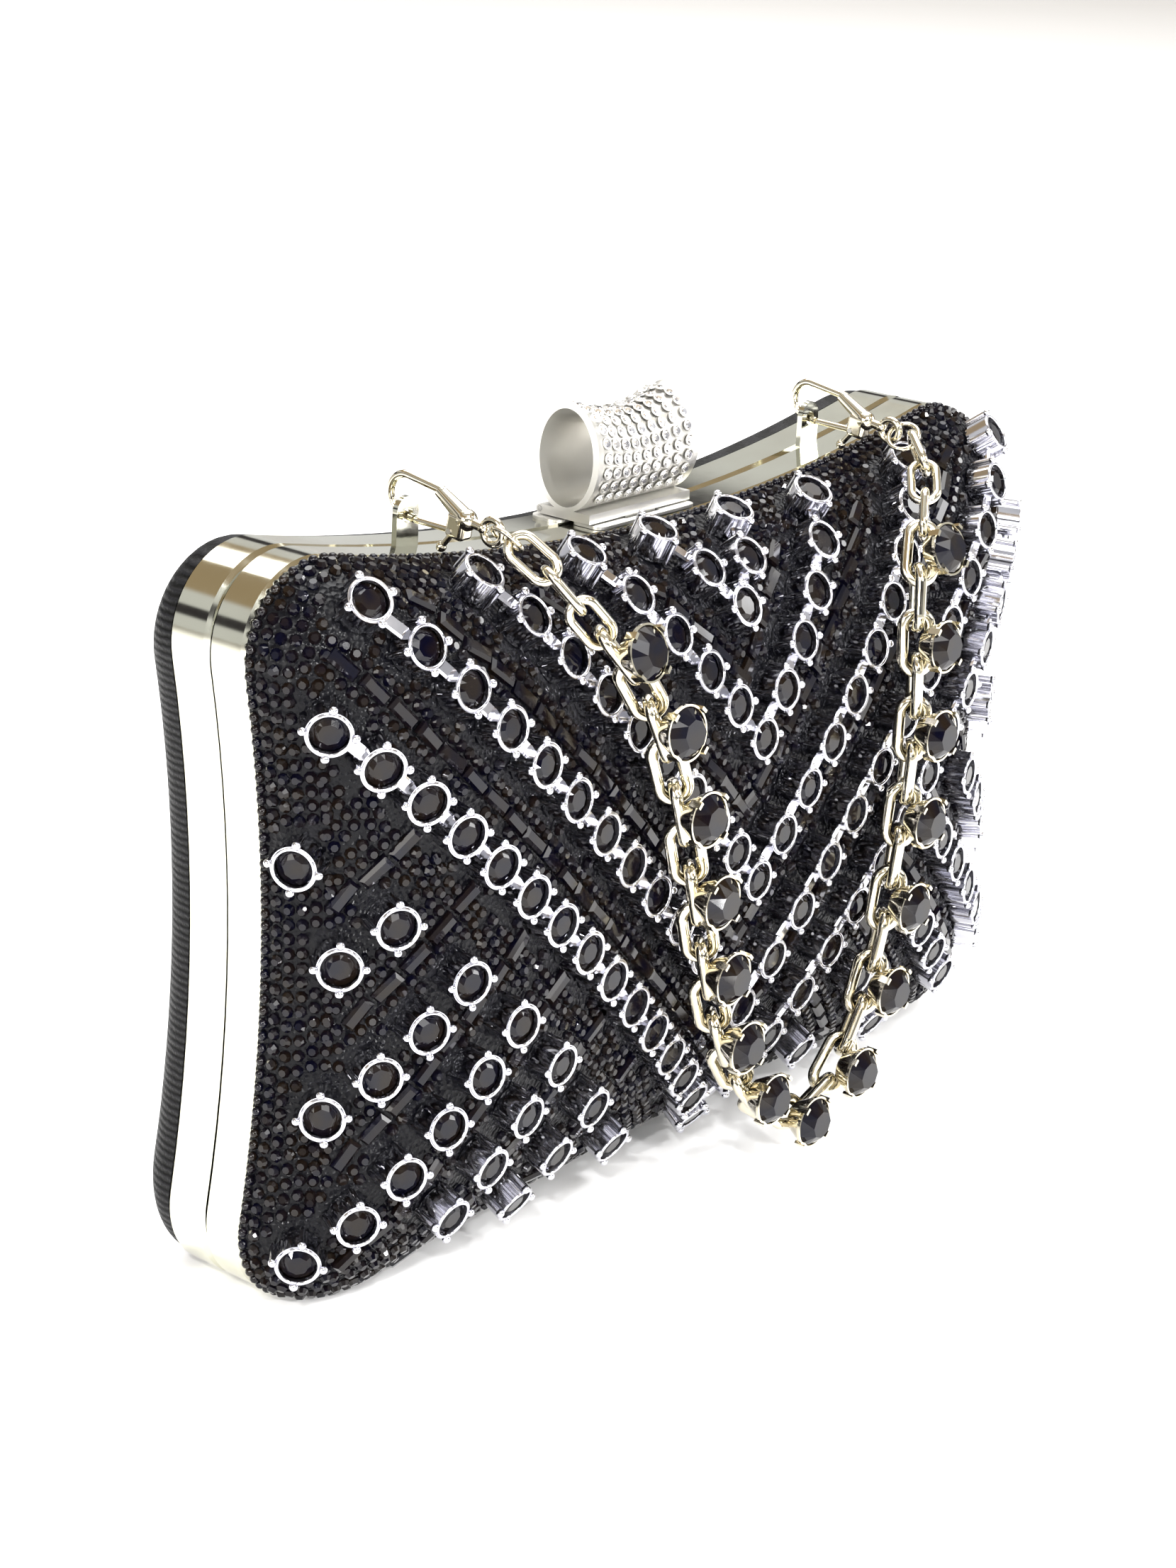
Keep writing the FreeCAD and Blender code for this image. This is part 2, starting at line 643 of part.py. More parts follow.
# how the chain hangs in front of the bag, between the two lobster eyes
CHAIN_DRAPE = (
    (-53, -24, 119), (-48, -32, 110), (-38, -36, 97), (-30, -38.5, 77), (-20, -38.5, 46), (-6, -38, 20),
    (13, -38, 10), (28, -38, 24), (34, -38.5, 46), (37, -38.5, 78), (39, -36, 101), (49, -29, 115),
    (53, -24, 119),
)
LEAD_LENGTH = 22.0
LEAD_LINKS = 3
LEAD_WIRE = 0.75
LEAD_HALF_WIDTH = 2.2
JUMP_AT = 2.9
JUMP_RADIUS = 2.7
JUMP_WIRE = 0.4
JUMP_PLAY = 0.75
LINK_PLAY = 0.28
LINK_TURN = 45
CUP_STANDOFF = 2.3
# above this height the crystals begin to face upward, by this much for each millimetre
UPTURN_HEIGHT = 96
UPTURN_RATE = 0.045


def swept(points_path, radius):
    """A round wire along a path."""
    path = Part.Wire(points_path)
    start = points_path[0]
    at = start.valueAt(start.FirstParameter)
    along = start.tangentAt(start.FirstParameter)
    profile = Part.Wire([Part.makeCircle(radius, at, along)])
    return path.makePipeShell([profile], True, True)


def arc_edge(centre, radius, start_deg, end_deg):
    """An arc in the plane across the bag; angle 0 points back, 90 up."""
    angles = (start_deg, (start_deg + end_deg) / 2, end_deg)
    points = []
    for angle in angles:
        a = math.radians(angle)
        points.append(Vec(0, centre.y + radius * math.cos(a), centre.z + radius * math.sin(a)))
    return Part.Arc(points[0], points[1], points[2]).toShape()


def lobster_parts():
    """Body, lever, lever pin, spring and eye of one lobster clasp, drawn round its hook centre."""
    radius = dim("hook_radius")
    tip = Part.makeLine(Vec(0, -HOOK_TIP, -radius), Vec(0, 0, -radius))
    bend = arc_edge(Vec(0, 0, 0), radius, -90, 90)
    back = Part.makeLine(Vec(0, 0, radius), Vec(0, -HOOK_BACK, radius))
    body = swept([tip, bend, back], dim("hook_wire"))
    shoulder = Part.makeCone(1.0, 1.5, 6.5, Vec(0, -6.5, radius - 0.2), Vec(0, -1, -0.42))
    neck = Part.makeSphere(1.75, Vec(0, -12.6, EYE_RISE))
    cheek = block(-CHEEK_HALF, CHEEK_HALF, CHEEK_REAR, -9.6, -3.0, 1.2)
    cheek = cheek.makeFillet(0.8, cheek.Edges)
    slot = block(-SLOT_HALF, SLOT_HALF, CHEEK_REAR + SLOT_END_WALL, -5.0, -5.5, 0.5)
    stem = rod(Vec(0, -14.6, EYE_RISE), STEM_RADIUS, 2.2, Y_AXIS)
    pivot = Vec(0, -10.7, -1.9)
    pin_hole = rod(pivot, LEVER_PIN, 8, X_AXIS)
    body = body.fuse([shoulder, neck, cheek, stem]).cut(slot).cut(pin_hole).removeSplitter()
    pin = rod(pivot, LEVER_PIN, 2 * CHEEK_HALF + 0.4, X_AXIS)
    boss = rod(pivot, 0.95, 1.2, X_AXIS)
    arm_end = Vec(0, -HOOK_TIP - 0.35, -radius)
    arm = swept([Part.makeLine(pivot - Z_AXIS * 0.2, arm_end)], 0.55)
    knob_at = Vec(0, -8.5, -5.5)
    thumb = swept([Part.makeLine(Vec(0, -10.4, -2.4), Vec(0, -8.6, -5.3))], 0.5)
    knob = Part.makeSphere(0.85, knob_at)
    running_hole = rod(pivot, LEVER_PIN + dim("hinge_running"), 8, X_AXIS)
    lever = boss.fuse([arm, thumb, knob]).cut(running_hole)
    spring = coil(SPRING_SEAT, Y_AXIS, 0.42, 0.09, 0.28, 3)
    eye = Part.makeTorus(1.9, 0.6, Vec(0, -EYE_REACH, EYE_RISE), X_AXIS)
    eye = eye.fuse(Part.makeSphere(0.95, Vec(0, -16.0, EYE_RISE)))
    eye = eye.cut(rod(Vec(0, -14.9, EYE_RISE), STEM_RADIUS + dim("hinge_running"), 2.6, Y_AXIS))
    return {"body": body, "lever": lever.removeSplitter(), "pin": pin, "spring": spring,
            "eye": eye.removeSplitter()}


def hook_centre(sx):
    z = dim("lug_hole_height") + dim("hook_radius")
    return Vec(sx * dim("lug_offset"), -dim("seam_gap") - dim("lug_wall") / 2, z)


def build_lobsters():
    pieces = lobster_parts()
    for name, sx in (("left", -1), ("right", 1)):
        turn = FreeCAD.Placement(hook_centre(sx), FreeCAD.Rotation(X_AXIS, HOOK_SLOPE))
        for piece, shape in pieces.items():
            copy = shape.copy()
            copy.Placement = turn.multiply(shape.Placement)
            feature("lobster_%s_%s" % (piece, name), Part.makeCompound([copy]))


def link_template(half_length, half_width, wire):
    """A stadium-shaped link along Z, flat in X."""
    straight = half_length - half_width
    reach = half_length + wire
    pieces = []
    for side in (-1, 1):
        pieces.append(Part.makeCylinder(wire, 2 * straight, Vec(side * half_width, 0, -straight)))
        bend = Part.makeTorus(half_width, wire, Vec(0, 0, side * straight), Y_AXIS)
        z0, z1 = sorted((side * straight, side * reach))
        pieces.append(bend.common(block(-reach, reach, -reach, reach, z0, z1)))
    return pieces[0].fuse(pieces[1:]).removeSplitter()


def eye_centre(sx):
    """The middle of a lobster's eye."""
    lean = FreeCAD.Rotation(X_AXIS, HOOK_SLOPE)
    return hook_centre(sx) + lean.multVec(Vec(0, -EYE_REACH, EYE_RISE))


def route_curve():
    spline = Part.BSplineCurve()
    spline.interpolate([eye_centre(-1)] + [Vec(*point) for point in CHAIN_DRAPE] + [eye_centre(1)])
    return spline.toShape()


def frame_at(curve, distance):
    """Point, direction and outward side of the chain at a distance along it."""
    place = curve.getParameterByLength(distance)
    at = curve.valueAt(place)
    along = curve.tangentAt(place)
    outward = Vec(0, -1, UPTURN_RATE * max(at.z - UPTURN_HEIGHT, 0))
    outward = outward - along * outward.dot(along)
    outward.normalize()
    return at, along, outward


def build_chain():
    """Jump rings, lead links, curb links, and the crystals in their cups."""
    curve = route_curve()
    total = curve.Length
    pitch = dim("link_pitch")
    wire = dim("link_wire")
    half_link = pitch / 2 + wire + LINK_PLAY
    curb = link_template(half_link, dim("link_half_width"), wire)
    count = int(round((total - 2 * LEAD_LENGTH) / pitch))
    if count % 2 == 0:
        count -= 1
    start = (total - (count - 1) * pitch) / 2
    print("chain length %.1f, curb links %d, lead %.2f" % (total, count, start))
    cup = cup_template()
    gem = gem_template()
    runs = {"left": [], "middle": [], "right": []}
    cups = []
    gems = []
    for index in range(count):
        at, along, outward = frame_at(curve, start + index * pitch)
        turn = LINK_TURN if index % 2 else -LINK_TURN
        side = FreeCAD.Rotation(along, turn).multVec(along.cross(outward))
        run = "left" if index < count / 3 else "right" if index >= 2 * count / 3 else "middle"
        runs[run].append(placed(curb, at, along, side))
        if index % 2 == 0:
            cups.append(placed(cup, at + outward * CUP_STANDOFF, outward, X_AXIS))
            gems.append(placed(gem, at + outward * CUP_STANDOFF, outward, X_AXIS))
    for run, links in runs.items():
        feature("curb_links_" + run, Part.makeCompound(links))
    feature("crystal_cups", Part.makeCompound(cups))
    feature("chain_crystals", Part.makeCompound(gems))
    build_leads(curve, total, start - half_link + wire)


def build_leads(curve, total, inner_end):
    """On each side a jump ring through the lobster eye and lighter links up to the first curb link."""
    overlap = 2 * LEAD_WIRE + LINK_PLAY
    first = JUMP_AT + JUMP_RADIUS - JUMP_WIRE - LEAD_WIRE - JUMP_PLAY
    reach = inner_end + LEAD_WIRE + LINK_PLAY - first + (LEAD_LINKS - 1) * overlap
    half_lead = reach / (2 * LEAD_LINKS)
    stops = [JUMP_AT]
    for number in range(LEAD_LINKS):
        stops.append(first + half_lead + number * (2 * half_lead - overlap))
    lead = link_template(half_lead, LEAD_HALF_WIDTH, LEAD_WIRE)
    ring = Part.makeTorus(JUMP_RADIUS, JUMP_WIRE, Vec(0, 0, 0), Y_AXIS)
    for name, flip in (("left", False), ("right", True)):
        shapes = []
        for number, stop in enumerate(stops):
            at, along, outward = frame_at(curve, total - stop if flip else stop)
            turn = LINK_TURN if (LEAD_LINKS - number) % 2 == 0 else -LINK_TURN
            side = FreeCAD.Rotation(along, turn).multVec(along.cross(outward))
            shapes.append(placed(ring if number == 0 else lead, at, along, side))
        feature("jump_ring_" + name, Part.makeCompound(shapes[:1]))
        feature("lead_links_" + name, Part.makeCompound(shapes[1:]))


def cup_template():
    """A claw cup: a ribbed skirt that opens upward, with four claws bent over the rim."""
    radius = dim("crystal_radius")
    profile = [Vec(1.6, 0, 0), Vec(2.6, 0, 0), Vec(radius + 0.35, 0, 3.4), Vec(radius + 0.35, 0, 3.9),
               Vec(radius + 0.02, 0, 3.9), Vec(radius + 0.02, 0, 3.2), Vec(2.1, 0, 0.6), Vec(1.6, 0, 0.6)]
    cup = Part.Face(Part.makePolygon(profile + profile[:1])).revolve(Vec(0, 0, 0), Z_AXIS, 360)
    for quarter in range(4):
        angle = 45 + 90 * quarter
        claw = block(radius + 0.05, radius + 0.6, -0.6, 0.6, 2.6, 4.7)
        claw.rotate(Vec(0, 0, 0), Z_AXIS, angle)
        cup = cup.fuse(claw)
    return cup.removeSplitter()


def gem_template():
    """A round faceted crystal: pointed below, sloping to a flat table above."""
    radius = dim("crystal_radius")
    lower = Part.makeCone(2.0, radius, 2.6, Vec(0, 0, 0.7))
    belt = Part.makeCylinder(radius, 0.6, Vec(0, 0, 3.3))
    crown = Part.makeCone(radius, radius * 0.56, 1.7, Vec(0, 0, 3.9))
    return lower.fuse([belt, crown]).removeSplitter()


# ---------------------------------------------------------------- build, check and export

def check_document():
    """Stop with a plain message if anything failed to build."""
    doc.recompute()
    for obj in doc.Objects:
        if "Invalid" in obj.State or "Error" in obj.State:
            raise RuntimeError("%s is %s" % (obj.Label, obj.State))
    for obj in SUB_PARTS:
        if obj.Shape.isNull() or not obj.Shape.isValid():
            raise RuntimeError("%s has no valid shape" % obj.Label)


def export_sub_parts():
    os.makedirs("parts", exist_ok=True)
    for obj in SUB_PARTS:
        obj.Shape.exportStep("parts/%s.step" % obj.Label)
        print("%-28s solids %3d volume %9.1f" % (obj.Label, len(obj.Shape.Solids), obj.Shape.Volume))


build_shells()
build_lugs()
build_hinge()
build_clasp()
build_ring_stones()
build_crowns()
build_lobsters()
build_chain()
check_document()
export_sub_parts()
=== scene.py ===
"""Evening bag: materials, stones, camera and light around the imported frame. Metres, in the row frame."""
import bpy
import json
import math
import random
from mathutils import Matrix, Vector
from mathutils.bvhtree import BVHTree
from mathutils.kdtree import KDTree


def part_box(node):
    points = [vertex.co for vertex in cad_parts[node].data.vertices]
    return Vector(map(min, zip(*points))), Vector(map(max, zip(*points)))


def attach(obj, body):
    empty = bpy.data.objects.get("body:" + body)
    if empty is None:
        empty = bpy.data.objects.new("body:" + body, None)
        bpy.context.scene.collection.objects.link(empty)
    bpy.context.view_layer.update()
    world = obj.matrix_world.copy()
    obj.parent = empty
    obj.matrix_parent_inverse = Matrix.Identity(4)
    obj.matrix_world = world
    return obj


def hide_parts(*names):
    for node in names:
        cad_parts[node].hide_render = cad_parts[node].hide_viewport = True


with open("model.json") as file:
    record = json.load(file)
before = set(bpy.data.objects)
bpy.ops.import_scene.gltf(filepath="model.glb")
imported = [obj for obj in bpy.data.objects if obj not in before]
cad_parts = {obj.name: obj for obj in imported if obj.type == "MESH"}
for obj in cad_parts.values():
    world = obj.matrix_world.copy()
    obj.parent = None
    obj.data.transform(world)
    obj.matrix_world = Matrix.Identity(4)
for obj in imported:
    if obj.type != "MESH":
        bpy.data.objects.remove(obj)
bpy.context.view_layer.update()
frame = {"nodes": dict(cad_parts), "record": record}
NODES = frame["nodes"]
MM = 0.001
RANDOM = random.Random(11)

FRAME_LOW, FRAME_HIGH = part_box("front_frame")
REAR_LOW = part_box("rear_frame")[0]
SEAM_Y = (FRAME_HIGH.y + REAR_LOW.y) / 2
HALF_WIDTH = FRAME_HIGH.x
HALF_HEIGHT = HALF_WIDTH * 120 / 190
MID_Z = FRAME_HIGH.z - HALF_HEIGHT
FRONT_RIM_Y = FRAME_LOW.y

SMALL_STONE = 1.0 * MM
SMALL_PITCH = 2.12 * MM
BAGUETTE_LENGTH = 5.4 * MM
BAGUETTE_WIDTH = 2.2 * MM
BAGUETTE_PITCH = 5.9 * MM
STONE_TILT = 0.17
RIM_DEPTH = 11 * MM
GAP_PITCH = 2.0 * MM
CROWN_RISE = 3.55 * MM
CROWN_TOP = 4.4 * MM
CROWN_SEAT = 0.85 * MM
CROWN_REACH = 4.5 * MM
BEAD_RADIUS = 0.85 * MM
BEAD_PITCH = 1.75 * MM
BEAD_DEPTH = 1.0 * MM
BEAD_REACH = 1.1 * MM
BORDER_DEPTHS = (3.1, 5.2, 7.2, 9.0, 10.6)
STONE_SINK = 0.15 * MM
STONE_REACH = 1.6 * MM
GAP_MARGIN = 0.45 * MM
GAP_SPACING = 1.85 * MM
LINE_OFFSETS = (2.35 * MM, 4.45 * MM)
ROW_CLEARANCE = 6.0 * MM
PITCHES = {"round": SMALL_PITCH, "baguette": BAGUETTE_PITCH}
MARGINS = {"round": 0.7 * MM, "baguette": 0.5 * MM}
REACHES = {"round": STONE_REACH, "baguette": 3.6 * MM}
ROOT_2 = math.sqrt(2)
X_AXIS = Vector((1, 0, 0))
BORDER_AXIS = Vector((1, 0, 0.3))


# ---------------------------------------------------------------- mesh helpers

def new_piece(name, verts, faces, material, body, slot, smooth=False):
    """A mesh piece with one material that rides on a body."""
    mesh = bpy.data.meshes.new(name)
    mesh.from_pydata(verts, [], faces)
    mesh.materials.append(material)
    mesh.polygons.foreach_set("use_smooth", [smooth] * len(mesh.polygons))
    mesh.update()
    piece = bpy.data.objects.new(name, mesh)
    bpy.context.scene.collection.objects.link(piece)
    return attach(piece, body)


def scatter(template, places):
    """Copies of a (verts, faces) template at each matrix, as one list of verts and one of faces."""
    verts = []
    faces = []
    for place in places:
        first = len(verts)
        verts += [place @ Vector(v) for v in template[0]]
        faces += [tuple(first + i for i in face) for face in template[1]]
    return verts, faces


def stand(at, up, along):
    """A placement with Z along up and X near along."""
    up = up.normalized()
    side = along - up * along.dot(up)
    if side.length < 1e-6:
        side = up.orthogonal()
    side.normalize()
    across = up.cross(side)
    turn = Matrix((side, across, up)).transposed().to_4x4()
    return Matrix.Translation(at) @ turn


def circle(radius, z, count, shift=0.0):
    """Points of a level ring."""
    step = 2 * math.pi / count
    points = []
    for i in range(count):
        angle = step * (i + shift)
        points.append((radius * math.cos(angle), radius * math.sin(angle), z))
    return points


def small_gem(radius, height):
    """A small flat-backed stone with eight facets and a table."""
    verts = circle(radius, 0, 8) + circle(radius, height * 0.35, 8) + circle(radius * 0.58, height, 8)
    faces = [tuple(range(7, -1, -1)), tuple(range(16, 24))]
    for level in (0, 8):
        for i in range(8):
            j = (i + 1) % 8
            faces.append((level + i, level + j, level + 8 + j, level + 8 + i))
    return verts, faces


def round_gem(radius, low, girdle, top, table):
    """A brilliant-like stone: pointed below, with 24 crown facets and an octagonal table."""
    verts = circle(radius * 0.35, low, 8) + circle(radius, girdle, 16) + circle(radius * table, top, 8)
    faces = [tuple(range(7, -1, -1)), tuple(range(24, 32))]
    for i in range(8):
        j = (i + 1) % 8
        middle = 8 + 2 * i
        nearer = 8 + (2 * i - 1) % 16
        further = 8 + (2 * i + 1) % 16
        faces += [(i, middle, nearer), (i, further, middle)]
        faces.append((i, j, further))
        faces += [(24 + i, nearer, middle), (24 + i, middle, further)]
        faces.append((24 + i, further, 24 + j))
    return verts, faces


def bevelled_bar(length, width, height, bevel):
    """A rectangular stone or plate with a sloping edge."""
    verts = []
    for inset, z in ((0, 0), (0, height * 0.55), (bevel, height)):
        a = length / 2 - inset
        b = width / 2 - inset
        verts += [(-a, -b, z), (a, -b, z), (a, b, z), (-a, b, z)]
    faces = [(3, 2, 1, 0), (8, 9, 10, 11)]
    for level in (0, 4):
        for i in range(4):
            j = (i + 1) % 4
            faces.append((level + i, level + j, level + 4 + j, level + 4 + i))
    return verts, faces


def bead(radius):
    """A low-polygon ball."""
    rings = 5
    verts = [(0, 0, -radius)]
    for ring in range(1, rings):
        angle = math.pi * ring / rings
        verts += circle(radius * math.sin(angle), -radius * math.cos(angle), 8)
    verts.append((0, 0, radius))
    last = len(verts) - 1
    faces = []
    for i in range(8):
        j = (i + 1) % 8
        faces.append((0, 1 + j, 1 + i))
        for ring in range(rings - 2):
            low = 1 + 8 * ring
            faces.append((low + i, low + j, low + 8 + j, low + 8 + i))
        faces.append((last, last - 8 + i, last - 8 + j))
    return verts, faces


def hoop(radius, wire, z, around, section):
    """A torus lying flat at a height."""
    verts = []
    faces = []
    for i in range(around):
        angle = 2 * math.pi * i / around
        for j in range(section):
            turn = 2 * math.pi * j / section
            reach = radius + wire * math.cos(turn)
            verts.append((reach * math.cos(angle), reach * math.sin(angle), z + wire * math.sin(turn)))
    for i in range(around):
        for j in range(section):
            a = i * section
            b = (i + 1) % around * section
            k = (j + 1) % section
            faces.append((a + j, b + j, b + k, a + k))
    return verts, faces


def islands(node):
    """Each separate solid of a CAD node, as (low end, outward axis, height along the axis)."""
    mesh = NODES[node].data
    joined = {}
    place = [joined.setdefault(tuple(round(c, 6) for c in v.co), v.index) for v in mesh.vertices]
    leader = list(range(len(mesh.vertices)))

    def find(i):
        while leader[i] != i:
            leader[i] = leader[leader[i]]
            i = leader[i]
        return i

    for edge in mesh.edges:
        leader[find(place[edge.vertices[0]])] = find(place[edge.vertices[1]])
    groups = {}
    for i in set(place):
        groups.setdefault(find(i), []).append(mesh.vertices[i].co)
    return [solid_axis(points) for points in groups.values()]


def solid_axis(points):
    """The axis of a round stone: the direction in which it is flattest."""
    centre = sum(points, Vector()) / len(points)
    spread = Matrix(((0, 0, 0),) * 3)
    for point in points:
        d = point - centre
        for i in range(3):
            for j in range(3):
                spread[i][j] += d[i] * d[j]
    widest = max(spread[i][i] for i in range(3)) * 3
    axis = Vector((0.1, -1, 0.1))
    for _ in range(60):
        axis = (axis * widest - spread @ axis).normalized()
    if axis.y > 0:
        axis.negate()
    levels = [(point - centre).dot(axis) for point in points]
    return centre + axis * min(levels), axis, max(levels) - min(levels)


# ---------------------------------------------------------------- materials

def material(name, colour, metallic, roughness):
    made = bpy.data.materials.new(name)
    made.use_nodes = True
    shader = made.node_tree.nodes["Principled BSDF"]
    shader.inputs["Base Color"].default_value = (*colour, 1)
    shader.inputs["Metallic"].default_value = metallic
    shader.inputs["Roughness"].default_value = roughness
    return made, made.node_tree.nodes, made.node_tree.links, shader


def noise(nodes, links, scale, detail=3.0):
    """Noise in the row frame, at a scale in cycles per metre."""
    place = nodes.new("ShaderNodeTexCoord")
    made = nodes.new("ShaderNodeTexNoise")
    made.inputs["Scale"].default_value = scale
    made.inputs["Detail"].default_value = detail
    links.new(place.outputs["Object"], made.inputs["Vector"])
    return made


def spread_between(nodes, links, source, low, high):
    """A value that varies between two limits."""
    made = nodes.new("ShaderNodeMapRange")
    made.inputs["To Min"].default_value = low
    made.inputs["To Max"].default_value = high
    links.new(source, made.inputs["Value"])
    return made.outputs["Result"]


def bump(nodes, links, shader, height, strength, distance):
    made = nodes.new("ShaderNodeBump")
    made.inputs["Strength"].default_value = strength
    made.inputs["Distance"].default_value = distance
    links.new(height, made.inputs["Height"])
    links.new(made.outputs["Normal"], shader.inputs["Normal"])


def tint(nodes, links, shader, source, first, second):
    """Base colour that drifts between two colours."""
    ramp = nodes.new("ShaderNodeValToRGB")
    ramp.color_ramp.elements[0].position = 0.35
    ramp.color_ramp.elements[1].position = 0.65
    ramp.color_ramp.elements[0].color = (*first, 1)
    ramp.color_ramp.elements[1].color = (*second, 1)
    links.new(source, ramp.inputs["Fac"])
    links.new(ramp.outputs["Color"], shader.inputs["Base Color"])


def plated_metal(name, first, second, low, high, grain):
    """Polished plating with faint handling marks and a very fine ripple."""
    made, nodes, links, shader = material(name, first, 1.0, low)
    marks = noise(nodes, links, 420, 5)
    links.new(spread_between(nodes, links, marks.outputs["Fac"], low, high), shader.inputs["Roughness"])
    tint(nodes, links, shader, noise(nodes, links, 60).outputs["Fac"], first, second)
    bump(nodes, links, shader, noise(nodes, links, grain).outputs["Fac"], 0.06, 0.00004)
    return made


def brushed_steel():
    made, nodes, links, shader = material("steel", (0.55, 0.54, 0.52), 1.0, 0.3)
    place = nodes.new("ShaderNodeTexCoord")
    stretch = nodes.new("ShaderNodeMapping")
    stretch.inputs["Scale"].default_value = (60, 2400, 2400)
    scratches = nodes.new("ShaderNodeTexNoise")
    links.new(place.outputs["Object"], stretch.inputs["Vector"])
    links.new(stretch.outputs["Vector"], scratches.inputs["Vector"])
    gloss = spread_between(nodes, links, scratches.outputs["Fac"], 0.22, 0.42)
    links.new(gloss, shader.inputs["Roughness"])
    return made


def black_glass(name, warm):
    """Black cut glass; the tint drifts a little between blue-black and brown-black, a faint painted
    reflection that stands in for the coloured glints of the facets.
    """
    made, nodes, links, shader = material(name, (0.004, 0.004, 0.006), 0.0, 0.05)
    shader.inputs["IOR"].default_value = 1.52
    shader.inputs["Specular IOR Level"].default_value = 0.24
    cells = noise(nodes, links, 260, 1)
    # painted reflection: the blue-black to brown-black drift stands in for the varied coloured glints of
    # the stones
    tint(nodes, links, shader, cells.outputs["Fac"], (0.001, 0.001, 0.004), warm)
    links.new(spread_between(nodes, links, cells.outputs["Fac"], 0.03, 0.12), shader.inputs["Roughness"])
    return made


def clear_stone():
    """Foil-backed clear stones, bright with a slight warm and cool drift."""
    made, nodes, links, shader = material("clear_stone", (0.9, 0.89, 0.87), 0.85, 0.08)
    shader.inputs["Coat Weight"].default_value = 1.0
    shader.inputs["Coat Roughness"].default_value = 0.02
    drift = noise(nodes, links, 900, 1)
    tint(nodes, links, shader, drift.outputs["Fac"], (0.5, 0.5, 0.53), (1.0, 0.97, 0.93))
    return made


def front_cover():
    """Black covering under the stones: fine beading with a shine of clear glue in patches."""
    made, nodes, links, shader = material("front_cover", (0.008, 0.008, 0.01), 0.0, 0.3)
    place = nodes.new("ShaderNodeTexCoord")
    grains = nodes.new("ShaderNodeTexVoronoi")
    grains.inputs["Scale"].default_value = 1100
    links.new(place.outputs["Object"], grains.inputs["Vector"])
    glue = noise(nodes, links, 300, 4)
    links.new(spread_between(nodes, links, glue.outputs["Fac"], 0.02, 0.45), shader.inputs["Roughness"])
    tint(nodes, links, shader, glue.outputs["Fac"], (0.001, 0.001, 0.002), (0.005, 0.005, 0.006))
    shader.inputs["Specular IOR Level"].default_value = 0.1
    bump(nodes, links, shader, grains.outputs["Distance"], 0.7, 0.0004)
    return made


def ribbed_fabric():
    """Black fabric with fine ribs along the bag; its gloss varies from point to point."""
    made, nodes, links, shader = material("ribbed_fabric", (0.008, 0.008, 0.009), 0.0, 0.6)
    shader.inputs["Specular IOR Level"].default_value = 0.12
    place = nodes.new("ShaderNodeTexCoord")
    ribs = nodes.new("ShaderNodeTexWave")
    ribs.bands_direction = "Z"
    ribs.inputs["Scale"].default_value = 260
    ribs.inputs["Distortion"].default_value = 1.4
    ribs.inputs["Detail Scale"].default_value = 3.0
    links.new(place.outputs["Object"], ribs.inputs["Vector"])
    glitter = noise(nodes, links, 3200, 1)
    links.new(spread_between(nodes, links, glitter.outputs["Fac"], 0.32, 0.75), shader.inputs["Roughness"])
    tint(nodes, links, shader, ribs.outputs["Fac"], (0.001, 0.001, 0.001), (0.006, 0.006, 0.007))
    bump(nodes, links, shader, ribs.outputs["Fac"], 0.6, 0.0003)
    return made


def satin_lining():
    made, nodes, links, shader = material("satin_lining", (0.02, 0.018, 0.018), 0.0, 0.4)
    shader.inputs["Sheen Weight"].default_value = 0.4
    weave = noise(nodes, links, 1500, 2)
    tint(nodes, links, shader, weave.outputs["Fac"], (0.014, 0.013, 0.013), (0.035, 0.032, 0.032))
    bump(nodes, links, shader, weave.outputs["Fac"], 0.3, 0.0001)
    return made


def pale_floor():
    made, nodes, links, shader = material("pale_floor", (0.93, 0.93, 0.93), 0.0, 0.6)
    drift = noise(nodes, links, 3)
    tint(nodes, links, shader, drift.outputs["Fac"], (0.92, 0.92, 0.92), (0.94, 0.94, 0.94))
    return made


MATERIALS = {
    "frame_metal": plated_metal("frame_metal", (0.60, 0.60, 0.51), (0.54, 0.53, 0.44), 0.06, 0.14, 90),
    "chain_metal": plated_metal("chain_metal", (0.66, 0.62, 0.50), (0.58, 0.53, 0.41), 0.05, 0.15, 700),
    "clasp_metal": plated_metal("clasp_metal", (0.72, 0.71, 0.68), (0.62, 0.61, 0.58), 0.30, 0.46, 900),
    "silver_plate": plated_metal("silver_plate", (0.64, 0.64, 0.68), (0.50, 0.50, 0.55), 0.05, 0.16, 900),
    "steel": brushed_steel(),
    "front_cover": front_cover(),
    "ribbed_fabric": ribbed_fabric(),
    "satin_lining": satin_lining(),
    "black_stone": black_glass("black_stone", (0.005, 0.003, 0.002)),
    "clear_stone": clear_stone(),
}


def dress_nodes():
    """Every CAD node gets the material of its slot in the record."""
    for entry in frame["record"]["subparts"]:
        made = MATERIALS[entry["material_slot"]]
        node = NODES[entry["node"]]
        if not node.material_slots:
            node.data.materials.append(made)
        for held in node.material_slots:
            held.material = made


# ---------------------------------------------------------------- the front's stones

def front_surface():
    """The outside of the front shell, for standing stones on."""
    mesh = NODES["front_shell"].data
    return BVHTree.FromPolygons([v.co for v in mesh.vertices], [tuple(p.vertices) for p in mesh.polygons])


SURFACE = front_surface()


def drop(x, z):
    """The point and normal of the front over (x, z), or None beside it."""
    at, normal, _, _ = SURFACE.ray_cast(Vector((x, SEAM_Y - 0.1, z)), Vector((0, 1, 0)))
    if at is None:
        return None
    return at, normal if normal.y < 0 else -normal


def crown_places():
    """For each node of crown stones, the (low end, axis, height) of its stones."""
    return {name: islands(name) for name in sorted(NODES) if name.startswith("crown_stones")}


def foot_of(low, axis):
    """Where a crown setting stands, from the low end of its stone."""
    return low - axis * (CROWN_RISE - CROWN_SEAT)


CROWNS = crown_places()
CROWN_FEET = [foot_of(low, axis) for group in CROWNS.values() for low, axis, _ in group]


